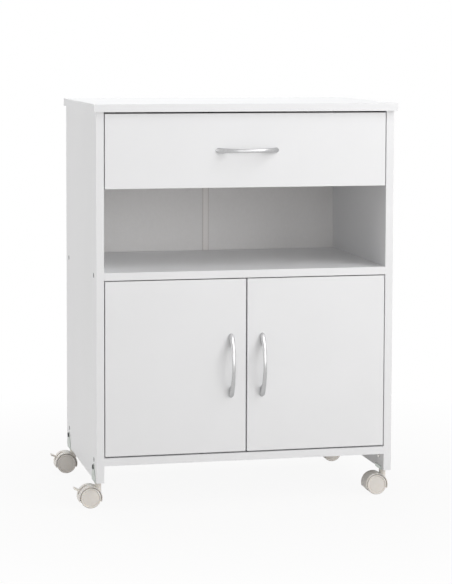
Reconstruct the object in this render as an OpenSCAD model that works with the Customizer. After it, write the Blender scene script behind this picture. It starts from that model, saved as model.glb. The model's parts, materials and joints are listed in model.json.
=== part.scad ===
// Printer cabinet on four castors: a drawer on roller runners, an open niche and a cupboard with two doors.
// Millimetres, +Z up. The origin is on the floor, under the middle of the top panel. The front faces -Y.

/* [Cabinet] */
// Width of the top panel
top_w = 600; // [520:5:800]
// Depth of the top panel
top_d = 400; // [380:5:500]
// Thickness of the coated boards
board_t = 15; // [15:0.5:18]
// How far the top stands past each side panel
side_overhang = 5; // [0:0.5:15]
// How far the top stands past the front edges of the side panels
front_overhang = 10; // [0:1:25]
// How far the side panels stand below the bottom panel
leg_h = 33; // [33:0.5:60]
// Height of the doors
door_h = 338; // [280:1:450]
// Height of the open niche, from the shelf to the drawer front
niche_h = 160.5; // [80:0.5:250]
// Height of the drawer front
drawer_front_h = 143; // [132:1:200]
// Gap above and beside the doors, and at the sides of the drawer front
front_gap = 2; // [1.5:0.1:3]
// Gap under the doors
door_foot_gap = 3; // [1.5:0.1:4]
// Gap between the two doors
door_meet_gap = 3; // [2:0.1:4]
// Gap between the drawer front and the top panel
drawer_top_gap = 3.5; // [1.5:0.1:6]

/* [Back] */
// Thickness of the hardboard back
back_t = 3; // [2.5:0.5:4]
// From the rear edges of the side panels to the hardboard
back_inset = 8; // [6:0.5:14]
// Depth of the grooves that hold the hardboard
groove_depth = 5; // [3:0.5:7]
// Room in a groove on each side of the hardboard
groove_gap = 0.15; // [0.1:0.05:0.4]
// Gap between the shelves and the hardboard, where the joiner strip passes
shelf_back_gap = 1.2; // [1:0.1:3]
// Width of the joiner strip between the two hardboard panels
joiner_w = 12.5; // [10:0.5:20]
// Wall of the joiner strip
joiner_t = 0.8; // [0.6:0.1:1]

/* [Cupboard shelf] */
// Height of the shelf pins above the bottom panel
shelf_pin_rise = 171; // [120:1:210]
// Distance between the holes for the shelf pins
shelf_hole_pitch = 32; // [25:1:40]
// How far the cupboard shelf stands back from the front
shelf_setback = 35; // [30:1:80]
// Gap at each end of the cupboard shelf
shelf_end_gap = 1; // [0.5:0.1:2]
// Diameter of the shelf pins
shelf_pin_d = 5; // [4:0.5:6]

/* [Panel fasteners] */
// From the front and rear edges of the side panels to the fasteners and the castors
fastener_inset = 33; // [30:1:45]
// Diameter of a panel screw's head
screw_head_d = 9.6; // [8:0.2:11]
// Length of a panel screw
screw_len = 50; // [40:1:60]
// Diameter of a panel screw's thread
screw_thread_d = 5; // [4:0.5:6.5]
// Diameter of a cam lock in the side panels
cam_d = 15; // [12:0.5:16]
// From the joint to the middle of a cam lock
cam_reach = 24; // [20:1:34]
// Room round a fastener in its hole
hole_fit = 0.1; // [0.05:0.05:0.3]

/* [Doors and hinges] */
// From the upper and lower edges of a door to the middle of a hinge
hinge_end = 80; // [60:1:100]
// Diameter of the hinge cup
cup_d = 35; // [34:0.5:36]
// Depth of the hinge cup in the door
cup_depth = 12.5; // [12:0.1:13]
// From the side panel to the middle of the hinge cup
cup_u = 24.5; // [24:0.1:26]
// From the side panel to the hinge pin
pivot_u = 20; // [19.5:0.1:21]
// From the front of the door to the hinge pin
pivot_v = 6.5; // [6:0.1:7]
// Diameter of the hinge pin
hinge_pin_d = 3; // [2.5:0.1:3.2]
// Radial clearance of the pins that turn
running_fit = 0.05; // [0.02:0.01:0.1]
// Thickness of the hinge arm
hinge_arm_t = 2.5; // [2:0.1:2.6]
// Width of the hinge arm
hinge_arm_w = 10; // [8:0.5:10.5]
// From the front of the doors to the screws of the hinge plates
hinge_plate_v = 52; // [50:1:60]

/* [Handles] */
// Overall length of a handle
handle_len = 127; // [116:1:140]
// Distance between the handle screws
handle_pitch = 96; // [90:1:98]
// How far a handle stands out
handle_h = 28; // [24:0.5:34]
// Thickness of the handle's strap
strap_t = 4.5; // [3.5:0.1:6]
// Width of the strap in the middle
strap_w = 8; // [6:0.5:9.5]
// Width of the handle's feet
foot_w = 10.5; // [10:0.5:13]
// From the middle of a door handle to the edge where the doors meet
handle_edge = 29.5; // [25:0.5:60]
// Diameter of the handle screws
handle_screw_d = 4; // [3:0.5:5]

/* [Drawer] */
// Height of the drawer's sides
drawer_side_h = 100; // [90:1:115]
// Thickness of the drawer's sides and back
drawer_side_t = 12; // [10:0.5:14]
// From the lower edge of the drawer front to the drawer's sides
drawer_rise = 11.5; // [10:0.5:20]
// Thickness of the hardboard drawer bottom
drawer_bottom_t = 3; // [2.5:0.5:4]
// From the lower edge of the sides to the drawer bottom
drawer_bottom_rise = 7; // [5:0.5:9]
// Depth of the grooves for the drawer bottom
drawer_groove = 6; // [4:0.5:6.5]
// How far the drawer's sides stop short of the hardboard back
drawer_rear_gap = 14; // [8:1:60]
// From the rear ends of the runners to the hardboard back
runner_rear_gap = 19; // [17:1:60]
// Space for a runner between the side panel and the drawer
runner_space = 12.5; // [12.2:0.1:13]
// Thickness of the runners' steel
runner_t = 1.2; // [1:0.1:1.5]
// Height of the cabinet runner
runner_h = 26; // [25.6:0.1:30]
// Diameter of the runner rollers
roller_d = 18; // [16:0.5:18]
// Width of the runner rollers
roller_w = 8; // [6:0.5:8.5]
// Diameter of the pins that carry the rollers
roller_pin_d = 5; // [4:0.5:7]

/* [Castors] */
// Height of the side panels' lower edges above the floor
castor_h = 52; // [51:0.5:58]
// Diameter of the wheels
wheel_d = 40; // [38:0.5:42]
// Width of one wheel
wheel_w = 11.5; // [10:0.5:14]
// From the stem to the axle of the wheels
trail = 16; // [14:0.5:18]
// Thickness of the web between the two wheels
web_w = 12; // [11.5:0.1:13]
// Wall of the hood over the wheels
hood_t = 2; // [2:0.1:3]
// Gap between the wheels and their housing
wheel_gap = 1; // [1:0.1:2]
// Diameter of the stem
stem_d = 8; // [7:0.5:8]
// How far the stem reaches into the side panel
stem_reach = 20; // [15:0.5:21]
// Diameter of the axle
axle_d = 6; // [5:0.5:7]
// Width of the brake lever
lever_w = 8; // [7:0.1:8.2]

/* [Castor brackets] */
// Thickness of the bracket's steel
bracket_t = 1.5; // [1:0.1:2]
// Length of the bracket along the panel
bracket_w = 36; // [30:1:44]
// From the lower edge of the side panel to the bracket bolt
bolt_rise = 26; // [25.5:0.5:26.5]
// Diameter of the bracket bolt
bolt_d = 5; // [4:0.5:5.5]

/* [Hidden] */
$fn = 40;
// How far a cut passes through a surface
cut = 1;

carcass_w = top_w - 2 * side_overhang;
inner_w = carcass_w - 2 * board_t;
y_front = -top_d / 2 + front_overhang;
y_rear = top_d / 2;
y_back = y_rear - back_inset - back_t;
y_shelf_rear = y_back - shelf_back_gap;

z_bottom = castor_h + leg_h;
z_floor = z_bottom + board_t;
z_door = z_floor + door_foot_gap;
z_shelf = z_door + door_h + front_gap;
z_niche = z_shelf + board_t;
z_drawer = z_niche + niche_h;
z_top = z_drawer + drawer_front_h + drawer_top_gap;
total_h = z_top + board_t;

fastener_ys = [y_front + fastener_inset, y_rear - fastener_inset];

// Room at the ends of the hardboard, in the grooves and in the joiner strip
back_end_gap = 0.5;
back_joiner_gap = 0.2;

// Shapes of the panel fasteners
screw_head_h = 3.5;
screw_neck_d = 7;
// Across the flats of the hexagon socket
socket_d = 4;
cam_depth = 12;
cam_bolt_d = 6;
cam_bolt_grip = 11;
cam_bolt_neck_d = 4;
cam_bolt_head = 2;
cam_cross_span = 7;
cam_cross_depth = 2.5;
cam_cross_w = 1.3;
shelf_pin_in = 8;
shelf_pin_out = 7;
pin_z = z_floor + shelf_pin_rise;
pin_front = 85;
pin_rear = 50;
pin_ys = [y_front + pin_front, y_back - pin_rear];
pin_collar = 1;

// Door leaves and their hinges
door_w = (inner_w - 2 * front_gap - door_meet_gap) / 2;
hinge_zs = [z_door + hinge_end, z_door + door_h - hinge_end];
cup_wall = 1.2;
cup_floor = 1;
cup_rim = 2;
cup_bore_fit = 0.1;
cup_flange_t = 1.2;
cup_flange_w = 22;
cup_flange_len = 58;
cup_screw_pitch = 48;
cup_screw_offset = 6;
cup_screw_len = 11;
wood_screw_d = 3.5;
wood_head_d = 6.4;
wood_head_h = 1.6;
recess_w = 0.9;
recess_span = 3.2;
recess_depth = 1.2;
hinge_eye_r = 2.6;
lug_w = 4;
lug_gap = 0.3;
plate_block_h = 5;
plate_block_w = 14;
plate_len = 36;
plate_nose = 4;
arm_flat = 14;
plate_wing_t = 2;
plate_wing_w = 44;
plate_wing_d = 12;
plate_screw_pitch = 32;
plate_screw_len = 12;
arm_screw_d = 5;
arm_screw_head_d = 9;
arm_screw_head_h = 2;
// The bend of the hinge arm, from the hinge pin, as steps away from the side panel and into the cabinet
arm_bend = [[0, 0], [9, 6], [13.5, 10.5], [13.5, 17], [11, 21.5], [-5, 22], [-12, 27]];

// Handles
handle_reach = 8;
handle_head_d = 8;
handle_head_h = 2.2;
handle_foot_in = 44;
handle_foot_lean = 15;
waist_steps = 6;
// Facets of the handles' large arcs
arc_fn = 240;

// Drawer
drawer_w = inner_w - 2 * runner_space;
drawer_front_w = inner_w - 2 * front_gap;
y_box = y_front + board_t;
y_box_rear = y_back - drawer_rear_gap;
z_box = z_drawer + drawer_rise;
z_box_bottom = z_box + drawer_bottom_rise;
drawer_bottom_gap = 0.3;
drawer_cam_d = 12;
drawer_cam_depth = 9;
drawer_cross_span = 6;
drawer_bolt_rise = 32;
drawer_bolt_drop = 22;
drawer_bolt_zs = [z_box + drawer_bolt_rise, z_box + drawer_side_h - drawer_bolt_drop];
drawer_bolt_d = 5;
drawer_bolt_neck_d = 3.5;
drawer_bolt_grip = 9;
drawer_head_h = 3;
drawer_screw_len = 40;
drawer_thread_d = 4;
drawer_neck_d = 5;
drawer_head_d = 7;

// Runners: the drawer runner's flange rolls on the cabinet roller, the drawer roller on the cabinet runner
runner_play = 0.3;
runner_start = 2;
runner_y = y_box + runner_start;
runner_len = y_back - y_box - runner_rear_gap;
runner_drop = 2;
z_runner = z_box - runner_drop;
x_runner = inner_w / 2 - runner_t;
x_web = drawer_w / 2;
runner_gap = 1;
runner_flange = runner_space - runner_t - runner_gap;
drawer_flange_rise = 20;
under_flange = 10;
z_flange = z_box + drawer_flange_rise - runner_t;
roller_end = 12;
roller_side_gap = (runner_space - 2 * runner_t - roller_w) / 2;
roller_pin_reach = roller_side_gap * 1.5 + roller_w;
z_cabinet_roller = z_flange - runner_play - roller_d / 2;
z_drawer_roller = z_runner + runner_t + runner_play + roller_d / 2;
drawer_roller_y = y_box + runner_len - roller_end;
runner_screw_end = 60;
runner_screw_ys = [runner_y + runner_screw_end, runner_y + runner_len - runner_screw_end];
runner_screw_len = 12;
drawer_runner_screw_len = 9;
drawer_runner_screw_rise = 14.5;

// Castors
stem_x = (carcass_w - board_t) / 2;
wheel_r = wheel_d / 2;
hood_r = wheel_r + wheel_gap + hood_t;
castor_ys = fastener_ys;
wheel_side_gap = 0.5;
castor_half_w = web_w / 2 + wheel_side_gap + wheel_w;
hood_inset = 1;
hood_round = hood_t - 0.6;
hood_foot = 13;
boss_d = 13;
collar_d = 12;
collar_t = 1.5;
collar_gap = 0.4;
stem_foot = 24;
stem_end_gap = 0.5;
grip_ring_d = 9;
grip_ring_t = 3;
z_plate = castor_h - bracket_t;
z_boss = z_plate - collar_t - collar_gap;
axle_end_gap = 3.5;
axle_room = axle_end_gap + 1;
rim_r = 1.8;
disc_step = 0.5;
tread_edge = 0.5;
rim_w = 4.8;
// The bead on a wheel's rim, as steps in from the tread and from the outer face
rim_bead = [[1.4, 0.8], [2.6, 0.2], [3.4, 0], [4.2, 0.2]];
lever_slot_gap = 0.2;
lever_t = 3;
lever_pin_d = 3;
lever_pin_room = 0.1;
lever_eye_r = 3.6;
lever_tip_d = 3.8;
// The paddle at the lever's tip, clear of the hood when it is pressed
paddle_w = 14;
paddle_len = 4.5;
paddle_flare = 3;
lever_tip_w = paddle_w + 0.8;
lever_room_below = 0.6;
lever_room_behind = 2;
// The brake lever's pin and tip, from the axle, away from the stem and up
lever_pin = [11.5, 9.6];
lever_tip = [29.5, 17.5];

// Castor brackets
bracket_lip = 5.5;
bracket_eye_r = 6.5;
bracket_shoulder = 10;
bolt_head_d = 9;
bolt_head_h = 2;
pan_recess_span = 4.4;
nut_flange_d = 12;
nut_flange_t = 1.2;
nut_sleeve_d = 6.8;
nut_sleeve_len = 10;

board_white = [0.93, 0.93, 0.93];
hardboard_white = [0.86, 0.84, 0.82];
zinc = [0.7, 0.73, 0.7];
steel = [0.62, 0.63, 0.65];
dark_steel = [0.35, 0.35, 0.36];
nickel = [0.75, 0.75, 0.74];
satin_chrome = [0.78, 0.78, 0.78];
castor_cream = [0.87, 0.84, 0.79];
roller_white = [0.9, 0.9, 0.88];
coated_steel = [0.92, 0.92, 0.92];

// Round bars along each axis
module bar_x(d, from, to) {
    translate([from, 0, 0]) rotate([0, 90, 0]) cylinder(d = d, h = to - from);
}
module bar_y(d, from, to) {
    translate([0, from, 0]) rotate([-90, 0, 0]) cylinder(d = d, h = to - from);
}
module bar_z(d, from, to) {
    translate([0, 0, from]) cylinder(d = d, h = to - from);
}

// A box between two corners
module block(low, high) {
    translate(low) cube(high - low);
}

// Left-hand pieces and their mirror images
module both_sides() {
    children();
    mirror([1, 0, 0]) children();
}

// The cross in a screw's head, sunk along +X from the origin
module cross_recess(span, depth, w = recess_w) {
    for (turn = [0, 90]) rotate([turn, 0, 0])
        block([-cut, -w / 2, -span / 2], [depth, w / 2, span / 2]);
}

// A countersunk wood screw along +X, with its head flush at the origin; grow makes its hole
module countersunk_screw(len, grow = 0) {
    start = grow > 0 ? -cut : 0;
    if (grow > 0) bar_x(wood_head_d + 2 * grow, start, 0);
    difference() {
        union() {
            rotate([0, 90, 0])
                cylinder(d1 = wood_head_d + 2 * grow, d2 = wood_screw_d + 2 * grow, h = wood_head_h + grow);
            bar_x(wood_screw_d + 2 * grow, 0, len + grow);
        }
        if (grow == 0) cross_recess(recess_span, recess_depth);
    }
}

// Panel screws, from the side panels into the ends of the shelf and of the bottom panel
module panel_screw(grow = 0) {
    start = grow > 0 ? -cut : 0;
    difference() {
        union() {
            bar_x(screw_head_d + 2 * grow, start, screw_head_h + grow);
            bar_x(screw_neck_d + 2 * grow, 0, board_t);
            bar_x(screw_thread_d + 2 * grow, 0, screw_len + grow);
        }
        if (grow == 0) bar_x(socket_d / cos(30), -cut, screw_head_h - 1, $fn = 6);
    }
}
module left_panel_screws(grow = 0) {
    for (y = fastener_ys, z = [z_bottom, z_shelf])
        translate([-carcass_w / 2, y, z + board_t / 2]) panel_screw(grow);
}

// Cam bolts, from the top panel down into the cam locks in the side panels
module cam_bolt(grow = 0) {
    bar_z(cam_bolt_d + 2 * grow, 0, cam_bolt_grip + grow);
    bar_z(cam_bolt_neck_d + 2 * grow, -cam_reach, 0);
    bar_z(cam_bolt_d + 2 * grow, -cam_reach - cam_bolt_head - grow, -cam_reach + cam_bolt_head / 3);
}
module left_cam_bolts(grow = 0) {
    for (y = fastener_ys) translate([-stem_x, y, z_top]) cam_bolt(grow);
}
module left_cam_locks(grow = 0) {
    for (y = fastener_ys)
        translate([-inner_w / 2, y, z_top - cam_reach])
            bar_x(cam_d + 2 * grow, -cam_depth - grow, grow > 0 ? cut : 0);
}

module cam_locks() {
    color(zinc) difference() {
        left_cam_locks();
        left_cam_bolts(hole_fit);
        for (y = fastener_ys) translate([-inner_w / 2, y, z_top - cam_reach])
            mirror([1, 0, 0]) cross_recess(cam_cross_span, cam_cross_depth, cam_cross_w);
    }
}

// Shelf pins under the cupboard shelf, and the rows of holes for them
module left_shelf_pins() {
    for (y = pin_ys) translate([-inner_w / 2, y, pin_z]) {
        bar_x(shelf_pin_d, -shelf_pin_in, shelf_pin_out);
        bar_x(shelf_pin_d + 2 * pin_collar, 0, pin_collar);
    }
}
module left_shelf_holes() {
    for (y = pin_ys, step = [-1, 0, 1])
        translate([-inner_w / 2, y, pin_z + step * shelf_hole_pitch])
            bar_x(shelf_pin_d + 2 * hole_fit, -shelf_pin_in - 1, cut);
}

// Bracket bolts with their sleeve nuts, through the feet of the side panels
module left_bracket_bolts(grow = 0) {
    for (y = castor_ys) translate([-carcass_w / 2, y, castor_h + bolt_rise]) {
        bar_x(bolt_d + 2 * grow, -bracket_t, board_t - 2);
        if (grow == 0) difference() {
            bar_x(bolt_head_d, -bracket_t - bolt_head_h, -bracket_t);
            translate([-bracket_t - bolt_head_h, 0, 0]) cross_recess(pan_recess_span, recess_depth);
        }
    }
}
module left_bracket_nuts(grow = 0) {
    for (y = castor_ys) translate([-inner_w / 2, y, castor_h + bolt_rise]) difference() {
        union() {
            bar_x(nut_sleeve_d + 2 * grow, -nut_sleeve_len - grow, grow > 0 ? cut : 0);
            if (grow == 0) bar_x(nut_flange_d, 0, nut_flange_t);
        }
        if (grow == 0) bar_x(bolt_d + 2 * hole_fit, -nut_sleeve_len - cut, nut_flange_t + cut);
    }
}

// The hole up the lower edge of a side panel that takes a castor stem
module left_stem_holes() {
    for (y = castor_ys) translate([-stem_x, y, castor_h])
        bar_z(grip_ring_d + 2 * hole_fit, -cut, stem_reach + cut);
}

// Screws that hold the cabinet runners and the hinge plates to the side panels
module left_cabinet_runner_screws(grow = 0) {
    for (y = runner_screw_ys)
        translate([-x_runner, y, z_runner + runner_h / 2])
            mirror([1, 0, 0]) countersunk_screw(runner_screw_len, grow);
}
module left_plate_screws(grow = 0) {
    for (z = hinge_zs, side = [-1, 1])
        translate([-inner_w / 2 + plate_wing_t, y_front + hinge_plate_v, z])
            translate([0, 0, side * plate_screw_pitch / 2])
                mirror([1, 0, 0]) countersunk_screw(plate_screw_len, grow);
}
module left_arm_screws(grow = 0) {
    for (z = hinge_zs) translate([-inner_w / 2 + plate_block_h, y_front + hinge_plate_v, z]) {
        bar_x(arm_screw_d + 2 * grow, -plate_block_h + 1, hinge_arm_t);
        if (grow == 0) difference() {
            bar_x(arm_screw_head_d, hinge_arm_t, hinge_arm_t + arm_screw_head_h);
            translate([hinge_arm_t + arm_screw_head_h, 0, 0])
                mirror([1, 0, 0]) cross_recess(pan_recess_span, recess_depth);
        }
    }
}

module left_hinge_screws() {
    left_plate_screws();
    left_arm_screws();
}

module side_panel() {
    color(board_white) difference() {
        block([-carcass_w / 2, y_front, castor_h], [-inner_w / 2, y_rear, z_top]);
        block([-inner_w / 2 - groove_depth, y_back - groove_gap, castor_h - cut],
              [-inner_w / 2 + cut, y_back + back_t + groove_gap, z_top + cut]);
        left_panel_screws(hole_fit);
        left_cam_bolts(hole_fit);
        left_cam_locks(hole_fit);
        left_shelf_holes();
        left_bracket_bolts(hole_fit);
        left_bracket_nuts(hole_fit);
        left_stem_holes();
        left_cabinet_runner_screws(hole_fit);
        left_plate_screws(hole_fit);
    }
}

module top_panel() {
    color(board_white) difference() {
        block([-top_w / 2, -top_d / 2, z_top], [top_w / 2, y_rear, total_h]);
        block([-inner_w / 2 - groove_depth, y_back - groove_gap, z_top - cut],
              [inner_w / 2 + groove_depth, y_back + back_t + groove_gap, z_top + groove_depth]);
        both_sides() left_cam_bolts(hole_fit);
    }
}

module fixed_panel(z) {
    color(board_white) difference() {
        block([-inner_w / 2, y_front, z], [inner_w / 2, y_shelf_rear, z + board_t]);
        both_sides() left_panel_screws(hole_fit);
    }
}

module cupboard_shelf() {
    z = pin_z + shelf_pin_d / 2;
    x = inner_w / 2 - shelf_end_gap;
    color(board_white) block([-x, y_front + shelf_setback, z], [x, y_shelf_rear, z + board_t]);
}

module back_panel() {
    // The hardboard stands in the groove of the side panel and in the joiner strip
    color(hardboard_white)
        block([-inner_w / 2 - groove_depth + back_end_gap, y_back, z_bottom],
              [-joiner_t / 2 - back_joiner_gap, y_back + back_t, z_top + groove_depth - back_end_gap]);
}

module back_joiner_strip() {
    wall = joiner_t;
    skin = wall - groove_gap;
    color(hardboard_white) {
        block([-wall / 2, y_back - wall, z_bottom], [wall / 2, y_back + back_t + wall, z_top]);
        for (y = [y_back - wall, y_back + back_t + wall - skin])
            block([-joiner_w / 2, y, z_bottom], [joiner_w / 2, y + skin, z_top]);
    }
}

// Runners: the cabinet's half is a channel, with a roller at its front end
module left_cabinet_runner() {
    end = runner_y + runner_len;
    color(coated_steel) difference() {
        union() {
            block([-inner_w / 2, runner_y, z_runner], [-x_runner, end, z_runner + runner_h]);
            for (z = [z_runner, z_runner + runner_h - runner_t])
                block([-inner_w / 2, runner_y, z], [-x_runner + runner_flange - runner_t, end, z + runner_t]);
            translate([-x_runner, runner_y + roller_end, z_cabinet_roller])
                bar_x(roller_pin_d, -runner_t, roller_pin_reach);
        }
        left_cabinet_runner_screws(hole_fit);
    }
}
module roller() {
    color(roller_white) difference() {
        bar_x(roller_d, 0, roller_w);
        bar_x(roller_pin_d + 2 * running_fit, -cut, roller_w + cut);
    }
}
module cabinet_rollers() {
    both_sides() translate([-x_runner + roller_side_gap, runner_y + roller_end, z_cabinet_roller]) roller();
}

// The drawer's half wraps under the drawer's side, with a roller at its rear end
module left_drawer_runner() {
    end = y_box + runner_len;
    color(coated_steel) difference() {
        union() {
            block([-x_web - runner_t, y_box, z_box - runner_t], [-x_web, end, z_flange + runner_t]);
            block([-x_web - runner_t, y_box, z_box - runner_t], [-x_web + under_flange, end, z_box]);
            block([-x_web - runner_flange + runner_gap, y_box, z_flange], [-x_web, end, z_flange + runner_t]);
            translate([-x_web, drawer_roller_y, z_drawer_roller])
                bar_x(roller_pin_d, -runner_t - roller_pin_reach, -runner_t / 2);
        }
        left_drawer_runner_screws(hole_fit);
    }
}
module left_drawer_runner_screws(grow = 0) {
    for (y = [y_box + runner_screw_end, y_box + runner_len - runner_screw_end])
        translate([-x_web - runner_t, y, z_box + drawer_runner_screw_rise])
            countersunk_screw(drawer_runner_screw_len, grow);
}
module drawer_rollers() {
    both_sides()
        translate([-x_web - runner_t - roller_side_gap - roller_w, drawer_roller_y, z_drawer_roller])
            roller();
}

// Drawer joints: cam bolts from the front into the sides, and screws from the sides into the back
module left_drawer_cam_bolts(grow = 0) {
    for (z = drawer_bolt_zs) translate([-x_web + drawer_side_t / 2, y_box, z]) {
        bar_y(drawer_bolt_d + 2 * grow, -drawer_bolt_grip - grow, 0);
        bar_y(drawer_bolt_neck_d + 2 * grow, 0, cam_reach);
        bar_y(drawer_bolt_d + 2 * grow, cam_reach - cam_bolt_head / 3, cam_reach + cam_bolt_head + grow);
    }
}
module left_drawer_cam_locks(grow = 0) {
    for (z = drawer_bolt_zs) translate([-x_web + drawer_side_t, y_box + cam_reach, z])
        bar_x(drawer_cam_d + 2 * grow, -drawer_cam_depth - grow, grow > 0 ? cut : 0);
}
module drawer_cam_locks() {
    color(zinc) difference() {
        left_drawer_cam_locks();
        left_drawer_cam_bolts(hole_fit);
        for (z = drawer_bolt_zs) translate([-x_web + drawer_side_t, y_box + cam_reach, z])
            mirror([1, 0, 0]) cross_recess(drawer_cross_span, recess_depth, cam_cross_w);
    }
}
module left_drawer_screws(grow = 0) {
    start = grow > 0 ? -cut : 0;
    for (z = drawer_bolt_zs) translate([-x_web, y_box_rear - drawer_side_t / 2, z]) difference() {
        union() {
            bar_x(drawer_head_d + 2 * grow, start, drawer_head_h + grow);
            bar_x(drawer_neck_d + 2 * grow, 0, drawer_side_t);
            bar_x(drawer_thread_d + 2 * grow, 0, drawer_screw_len + grow);
        }
        if (grow == 0) cross_recess(pan_recess_span, recess_depth);
    }
}

module drawer_front() {
    x = drawer_front_w / 2;
    bottom_x = drawer_w / 2 - drawer_side_t + drawer_groove;
    color(board_white) difference() {
        block([-x, y_front, z_drawer], [x, y_box, z_drawer + drawer_front_h]);
        block([-bottom_x, y_box - drawer_groove, z_box_bottom - groove_gap],
              [bottom_x, y_box + cut, z_box_bottom + drawer_bottom_t + groove_gap]);
        both_sides() left_drawer_cam_bolts(hole_fit);
        drawer_handle_screws(hole_fit);
    }
}
module drawer_left_side() {
    x = -x_web + drawer_side_t;
    color(board_white) difference() {
        block([-x_web, y_box, z_box], [x, y_box_rear, z_box + drawer_side_h]);
        block([x - drawer_groove, y_box - cut, z_box_bottom - groove_gap],
              [x + cut, y_box_rear + cut, z_box_bottom + drawer_bottom_t + groove_gap]);
        left_drawer_cam_bolts(hole_fit);
        left_drawer_cam_locks(hole_fit);
        left_drawer_screws(hole_fit);
        left_drawer_runner_screws(hole_fit);
    }
}
module drawer_back() {
    x = drawer_w / 2 - drawer_side_t;
    z = z_box_bottom + drawer_bottom_t + groove_gap;
    color(board_white) difference() {
        block([-x, y_box_rear - drawer_side_t, z], [x, y_box_rear, z_box + drawer_side_h]);
        both_sides() left_drawer_screws(hole_fit);
    }
}
module drawer_bottom() {
    x = drawer_w / 2 - drawer_side_t + drawer_groove - drawer_bottom_gap;
    color(hardboard_white)
        block([-x, y_box - drawer_groove + drawer_bottom_gap, z_box_bottom],
              [x, y_box_rear, z_box_bottom + drawer_bottom_t]);
}

// A bow handle that lies along X and stands out towards -Y, with its feet on the origin's plane
module bow_handle() {
    r_out = (pow(handle_len / 2, 2) + pow(handle_h, 2)) / (2 * handle_h);
    end_x = (handle_len - foot_w) / 2;
    waist = [for (i = [-waist_steps : waist_steps])
        let (k = i / waist_steps) [k * end_x, (strap_w + (foot_w - strap_w) * k * k) / 2]];
    color(satin_chrome) difference() {
        intersection() {
            union() {
                translate([0, r_out - handle_h, 0]) difference() {
                    bar_z(2 * r_out, -foot_w / 2, foot_w / 2, $fn = arc_fn);
                    bar_z(2 * (r_out - strap_t), -foot_w, foot_w, $fn = arc_fn);
                }
                intersection() {
                    translate([0, r_out - handle_h, 0])
                        bar_z(2 * r_out, -foot_w / 2, foot_w / 2, $fn = arc_fn);
                    translate([0, 0, -foot_w / 2]) linear_extrude(foot_w) for (side = [-1, 1])
                        polygon([[side * handle_foot_in, 0],
                                 [side * (handle_foot_in - handle_foot_lean), -handle_h],
                                 [side * handle_len, -handle_h], [side * handle_len, 0]]);
                }
            }
            union() {
                rotate([90, 0, 0]) linear_extrude(handle_h + cut)
                    polygon(concat(waist, [for (p = waist) [-p.x, -p.y]]));
                for (side = [-1, 1]) translate([side * end_x, 0, 0]) bar_y(foot_w, -handle_h - cut, 0);
            }
        }
        for (side = [-1, 1]) translate([side * handle_pitch / 2, 0, 0])
            bar_y(handle_screw_d + 2 * hole_fit, -handle_reach - 1, cut);
    }
}
// The two screws of a handle, through a board from behind
module bow_handle_screws(grow = 0) {
    for (side = [-1, 1]) translate([side * handle_pitch / 2, 0, 0]) {
        bar_y(handle_screw_d + 2 * grow, -handle_reach, board_t + (grow > 0 ? cut : 0));
        if (grow == 0) difference() {
            bar_y(handle_head_d, board_t, board_t + handle_head_h);
            translate([0, board_t + handle_head_h, 0])
                rotate([0, 0, -90]) cross_recess(pan_recess_span, recess_depth);
        }
    }
}
module at_drawer_handle() {
    translate([0, y_front, z_drawer + drawer_front_h / 2]) children();
}
module drawer_handle_screws(grow = 0) {
    at_drawer_handle() bow_handle_screws(grow);
}

// The left door, in its place
module at_door_handle() {
    translate([-door_meet_gap / 2 - handle_edge, y_front, z_door + door_h / 2]) rotate([0, 90, 0]) children();
}
module door_handle_screws() {
    color(steel) at_door_handle() bow_handle_screws();
}
module at_hinges() {
    for (z = hinge_zs) translate([-inner_w / 2, y_front, z]) children();
}
module cup_screws(grow = 0) {
    at_hinges() for (side = [-1, 1])
        translate([cup_u + cup_screw_offset, board_t + cup_flange_t, side * cup_screw_pitch / 2])
            rotate([0, 0, -90]) countersunk_screw(cup_screw_len, grow);
}
module door() {
    x = -inner_w / 2 + front_gap;
    color(board_white) difference() {
        block([x, y_front, z_door], [x + door_w, y_front + board_t, z_door + door_h]);
        at_hinges() translate([cup_u, 0, 0])
            bar_y(cup_d + 2 * cup_bore_fit, board_t - cup_depth - cup_bore_fit, board_t + cut);
        cup_screws(hole_fit);
        at_door_handle() bow_handle_screws(hole_fit);
    }
}
module hinge_cup() {
    floor_v = board_t - cup_depth;
    flange_v = board_t + cup_flange_t;
    lug_z = hinge_arm_w / 2 + lug_gap;
    difference() {
        union() {
            difference() {
                translate([cup_u, 0, 0]) {
                    bar_y(cup_d, floor_v, flange_v);
                    bar_y(cup_d + 2 * cup_rim, board_t, flange_v);
                    block([-cup_flange_w / 2, board_t, -cup_flange_len / 2],
                          [cup_flange_w / 2, flange_v, cup_flange_len / 2]);
                }
                translate([cup_u, 0, 0]) bar_y(cup_d - 2 * cup_wall, floor_v + cup_floor, flange_v + cut);
            }
            // The two lugs on the floor of the cup that hold the hinge pin
            for (side = [0, 1]) mirror([0, 0, side])
                block([pivot_u - hinge_pin_d, floor_v + cup_floor / 2, lug_z],
                      [pivot_u + hinge_pin_d, pivot_v + hinge_pin_d, lug_z + lug_w]);
        }
        translate([pivot_u, pivot_v, 0])
            bar_z(hinge_pin_d + 2 * running_fit, -lug_z - lug_w - cut, lug_z + lug_w + cut);
    }
}
module hinge_cups() {
    color(nickel) difference() {
        at_hinges() hinge_cup();
        cup_screws(hole_fit);
    }
}
module hinge_pins() {
    reach = hinge_arm_w / 2 + lug_gap + lug_w;
    color(steel) at_hinges() translate([pivot_u, pivot_v, 0]) bar_z(hinge_pin_d, -reach, reach);
}

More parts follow.
